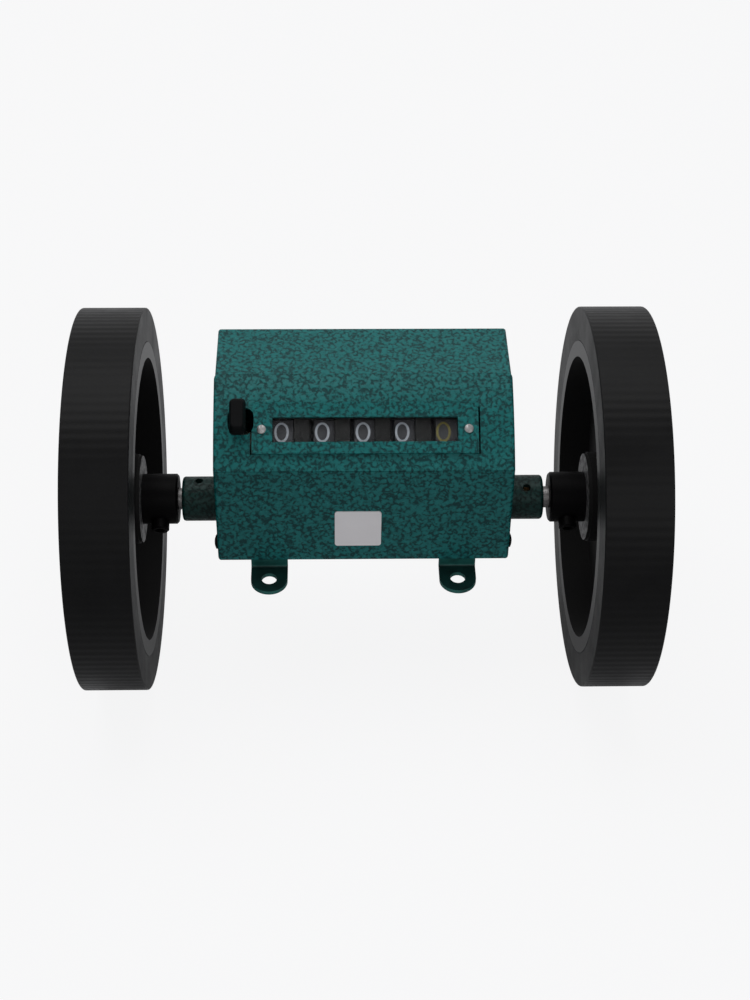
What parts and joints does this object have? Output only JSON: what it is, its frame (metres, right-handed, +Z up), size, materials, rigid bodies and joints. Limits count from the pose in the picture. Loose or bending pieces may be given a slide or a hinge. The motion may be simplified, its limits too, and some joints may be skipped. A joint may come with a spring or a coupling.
{
  "type": "cable length counter",
  "caption": "Cable length counter: rubber-tyred measuring wheels on a common shaft turn number drums behind a window in a hammertone housing with bolt-down feet and a reset lever.",
  "frame": {"origin": "the middle of the four foot holes, on the underside of the feet", "axes": "+X along the wheel shaft to the right seen from the window side, +Y from the window side to the back, +Z up out of the feet"},
  "size_m": [0.1547, 0.1062, 0.1062],
  "materials": {
    "housing_paint": "teal green hammertone enamel on steel and zinc",
    "base_paint": "darker teal enamel, smooth and glossy",
    "screw_steel": "bright zinc-plated steel",
    "window_screw_steel": "bright domed steel",
    "bush_bronze": "oiled sintered bronze",
    "lens_clear": "clear polished plastic window",
    "frame_black": "matt black",
    "label_grey": "blank satin light grey",
    "shaft_steel": "ground steel",
    "gear_plastic": "natural moulded plastic",
    "gear_brass": "machined brass",
    "spring_steel": "drawn spring steel",
    "lever_steel": "stamped steel",
    "black_steel": "black oxide steel",
    "zinc_washer": "mottled zinc-plated steel",
    "tyre_rubber": "fine-ribbed black rubber",
    "wheel_alloy": "as-cast light grey alloy",
    "drum_black": "moulded dark grey plastic",
    "cap_black": "moulded black plastic"
  },
  "bodies": {
    "counter_body": {"base_plate": "base_paint", "left_end_plate": "housing_paint", "right_end_plate": "housing_paint", "front_plate": "housing_paint", "window_cover": "housing_paint", "rear_cover": "housing_paint", "side_screws": "screw_steel", "base_screws": "screw_steel", "shaft_bushes": "bush_bronze", "window_lens": "lens_clear", "lens_frame": "frame_black", "window_screws": "window_screw_steel", "window_nuts": "window_screw_steel", "label_plate": "label_grey", "drum_axle": "shaft_steel", "drum_spacers": "gear_plastic", "pinion_axle": "shaft_steel", "pinion_spacers": "gear_plastic", "idler_axle": "shaft_steel", "idler_clip": "spring_steel", "reset_spring": "spring_steel"},
    "roller": {"shaft": "shaft_steel", "shaft_gear": "gear_brass", "thrust_collar": "shaft_steel", "collar_screw": "black_steel", "left_tyre": "tyre_rubber", "right_tyre": "tyre_rubber", "left_wheel": "wheel_alloy", "right_wheel": "wheel_alloy", "left_hub": "black_steel", "right_hub": "black_steel", "wheel_washers": "zinc_washer", "hub_screws": "black_steel"},
    "idler": {"idler_gear": "gear_plastic"},
    "thousands": {"thousands_drum": "drum_black"},
    "hundreds": {"hundreds_drum": "drum_black"},
    "tens": {"tens_drum": "drum_black"},
    "units": {"units_drum": "drum_black"},
    "tenths": {"tenths_drum": "drum_black"},
    "pinion_1": {"transfer_pinion_1": "gear_plastic"},
    "pinion_2": {"transfer_pinion_2": "gear_plastic"},
    "pinion_3": {"transfer_pinion_3": "gear_plastic"},
    "pinion_4": {"transfer_pinion_4": "gear_plastic"},
    "reset": {"reset_rod": "shaft_steel", "reset_lever": "lever_steel", "reset_cap": "cap_black", "reset_fingers": "black_steel"}
  },
  "joints": [
    {"name": "wheel_spin", "type": "hinge", "parent": "counter_body", "child": "roller", "pos_m": [0, -0.005, 0.013], "axis": [1, 0, 0], "continuous": true},
    {"name": "idler_spin", "type": "hinge", "parent": "counter_body", "child": "idler", "pos_m": [0, 0.00622, 0.02296], "axis": [1, 0, 0], "continuous": true},
    {"name": "tenths_spin", "type": "hinge", "parent": "counter_body", "child": "tenths", "pos_m": [0, -0.00508, 0.03282], "axis": [1, 0, 0], "continuous": true},
    {"name": "units_spin", "type": "hinge", "parent": "counter_body", "child": "units", "pos_m": [0, -0.00508, 0.03282], "axis": [1, 0, 0], "continuous": true},
    {"name": "tens_spin", "type": "hinge", "parent": "counter_body", "child": "tens", "pos_m": [0, -0.00508, 0.03282], "axis": [1, 0, 0], "continuous": true},
    {"name": "hundreds_spin", "type": "hinge", "parent": "counter_body", "child": "hundreds", "pos_m": [0, -0.00508, 0.03282], "axis": [1, 0, 0], "continuous": true},
    {"name": "thousands_spin", "type": "hinge", "parent": "counter_body", "child": "thousands", "pos_m": [0, -0.00508, 0.03282], "axis": [1, 0, 0], "continuous": true},
    {"name": "pinion_4_spin", "type": "hinge", "parent": "counter_body", "child": "pinion_4", "pos_m": [0, -0.01363, 0.02263], "axis": [1, 0, 0], "continuous": true},
    {"name": "pinion_3_spin", "type": "hinge", "parent": "counter_body", "child": "pinion_3", "pos_m": [0, -0.01363, 0.02263], "axis": [1, 0, 0], "continuous": true},
    {"name": "pinion_2_spin", "type": "hinge", "parent": "counter_body", "child": "pinion_2", "pos_m": [0, -0.01363, 0.02263], "axis": [1, 0, 0], "continuous": true},
    {"name": "pinion_1_spin", "type": "hinge", "parent": "counter_body", "child": "pinion_1", "pos_m": [0, -0.01363, 0.02263], "axis": [1, 0, 0], "continuous": true},
    {"name": "reset_press", "type": "hinge", "parent": "counter_body", "child": "reset", "pos_m": [0, 0.0095, 0.045], "axis": [1, 0, 0], "range_deg": [0, 8], "stiffness_Nm_per_rad": 0.4, "springref_deg": -8.59, "deforming": ["reset_spring"]}
  ],
  "couplings": [
    {"joint": "idler_spin", "follows": "wheel_spin", "ratio": -0.66667},
    {"joint": "tenths_spin", "follows": "wheel_spin", "ratio": 0.33333},
    {"joint": "units_spin", "follows": "wheel_spin", "ratio": 0.033333},
    {"joint": "tens_spin", "follows": "wheel_spin", "ratio": 0.0033333},
    {"joint": "hundreds_spin", "follows": "wheel_spin", "ratio": 0.00033333},
    {"joint": "thousands_spin", "follows": "wheel_spin", "ratio": 0.000033333},
    {"joint": "pinion_4_spin", "follows": "wheel_spin", "ratio": -0.083333},
    {"joint": "pinion_3_spin", "follows": "wheel_spin", "ratio": -0.0083333},
    {"joint": "pinion_2_spin", "follows": "wheel_spin", "ratio": -0.00083333},
    {"joint": "pinion_1_spin", "follows": "wheel_spin", "ratio": -0.000083333}
  ]
}
